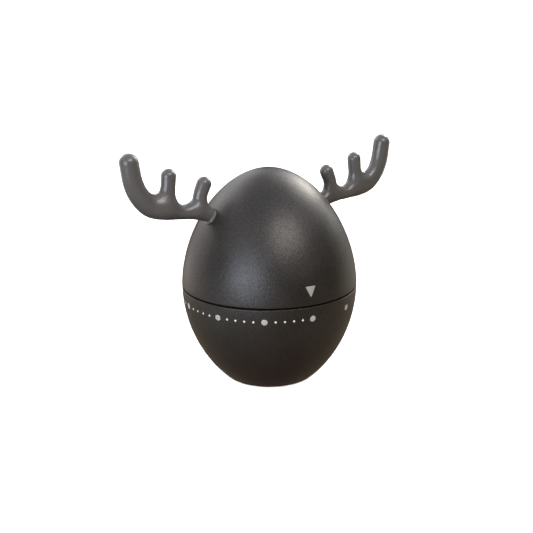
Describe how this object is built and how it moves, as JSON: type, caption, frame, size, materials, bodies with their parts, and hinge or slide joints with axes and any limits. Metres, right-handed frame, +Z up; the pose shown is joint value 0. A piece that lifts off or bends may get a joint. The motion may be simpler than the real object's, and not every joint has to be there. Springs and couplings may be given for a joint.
{
  "type": "wind-up kitchen timer",
  "caption": "Egg-shaped wind-up timer: the antlered upper half turns over a fixed lower half that carries a printed minute scale; a clockwork movement and gong inside.",
  "frame": {"origin": "middle of the foot pad's under-face, on the surface the timer stands on", "axes": "+Z up, along the turning axis; -Y towards the zero mark of the scale, which is printed within 5 degrees of it; +X and -X along the antlers"},
  "size_m": [0.1024, 0.06, 0.0809],
  "materials": {
    "shell_plastic": "satin moulded charcoal ABS",
    "antler_plastic": "semi-gloss moulded charcoal ABS",
    "foot_rubber": "matt moulded rubber",
    "steel": "stamped and turned steel",
    "spring_steel": "blued spring steel",
    "brass": "stamped and turned brass",
    "gong_steel": "polished nickel plate"
  },
  "bodies": {
    "base_half": {"lower_shell": "shell_plastic", "foot_pad": "foot_rubber", "mounting_screw_1": "steel", "mounting_screw_2": "steel", "mounting_screw_3": "steel", "lower_plate": "steel", "upper_plate": "steel", "pillar_1": "brass", "pillar_2": "brass", "pillar_3": "brass", "pillar_4": "brass", "spring_cup": "steel", "mainspring": "spring_steel", "stop_pin": "steel", "gong_post": "brass", "gong": "gong_steel", "gong_nut": "brass", "spring_post": "steel", "hammer_spring": "spring_steel"},
    "turning_half": {"upper_shell": "shell_plastic", "antler_right": "antler_plastic", "antler_left": "antler_plastic", "antler_clip_right": "spring_steel", "antler_clip_left": "spring_steel", "main_arbor": "steel", "arbor_clip": "spring_steel", "ratchet_wheel": "steel", "alarm_cam": "steel", "stop_finger": "steel"},
    "great_wheel_set": {"great_wheel": "brass", "click_pawl": "steel", "click_rivet": "brass"},
    "second_wheel_set": {"second_arbor": "steel", "second_wheel": "brass", "striker_star": "steel"},
    "third_wheel_set": {"third_arbor": "steel", "third_wheel": "brass"},
    "escape_wheel_set": {"escape_arbor": "steel", "escape_wheel": "brass"},
    "pallet_set": {"pallet_arbor": "steel", "pallet_lever": "steel", "balance_bar": "brass"},
    "hammer_set": {"hammer_arbor": "steel", "hammer_tail": "steel", "hammer_arm": "steel", "hammer_head": "brass"}
  },
  "joints": [
    {"name": "timer_turn", "type": "hinge", "parent": "base_half", "child": "turning_half", "pos_m": [0, 0, 0.0335], "axis": [0, 0, -1], "range_deg": [0, 330], "deforming": ["mainspring"]},
    {"name": "great_wheel_turn", "type": "hinge", "parent": "base_half", "child": "great_wheel_set", "pos_m": [0, 0, 0.0116], "axis": [0, 0, -1], "range_deg": [0, 330]},
    {"name": "second_wheel_turn", "type": "hinge", "parent": "base_half", "child": "second_wheel_set", "pos_m": [-0.0126, 0, 0.014], "axis": [0, 0, -1], "range_deg": [-1980, 0]},
    {"name": "third_wheel_turn", "type": "hinge", "parent": "base_half", "child": "third_wheel_set", "pos_m": [-0.00916, 0.0088, 0.0145], "axis": [0, 0, -1], "range_deg": [0, 9900]},
    {"name": "escape_wheel_turn", "type": "hinge", "parent": "base_half", "child": "escape_wheel_set", "pos_m": [-0.00197, 0.01255, 0.0165], "axis": [0, 0, -1], "range_deg": [-49500, 0]},
    {"name": "pallet_swing", "type": "hinge", "parent": "base_half", "child": "pallet_set", "pos_m": [0.00504, 0.01166, 0.0175], "axis": [0, 0, -1], "range_deg": [-4, 4]},
    {"name": "hammer_swing", "type": "hinge", "parent": "base_half", "child": "hammer_set", "pos_m": [-0.00728, -0.0104, 0.0175], "axis": [0, 0, -1], "range_deg": [-3, 1.5], "stiffness_Nm_per_rad": 0.001, "deforming": ["hammer_spring"]}
  ],
  "couplings": [
    {"joint": "great_wheel_turn", "follows": "timer_turn", "ratio": 1},
    {"joint": "second_wheel_turn", "follows": "timer_turn", "ratio": -6},
    {"joint": "third_wheel_turn", "follows": "timer_turn", "ratio": 30},
    {"joint": "escape_wheel_turn", "follows": "timer_turn", "ratio": -150}
  ]
}
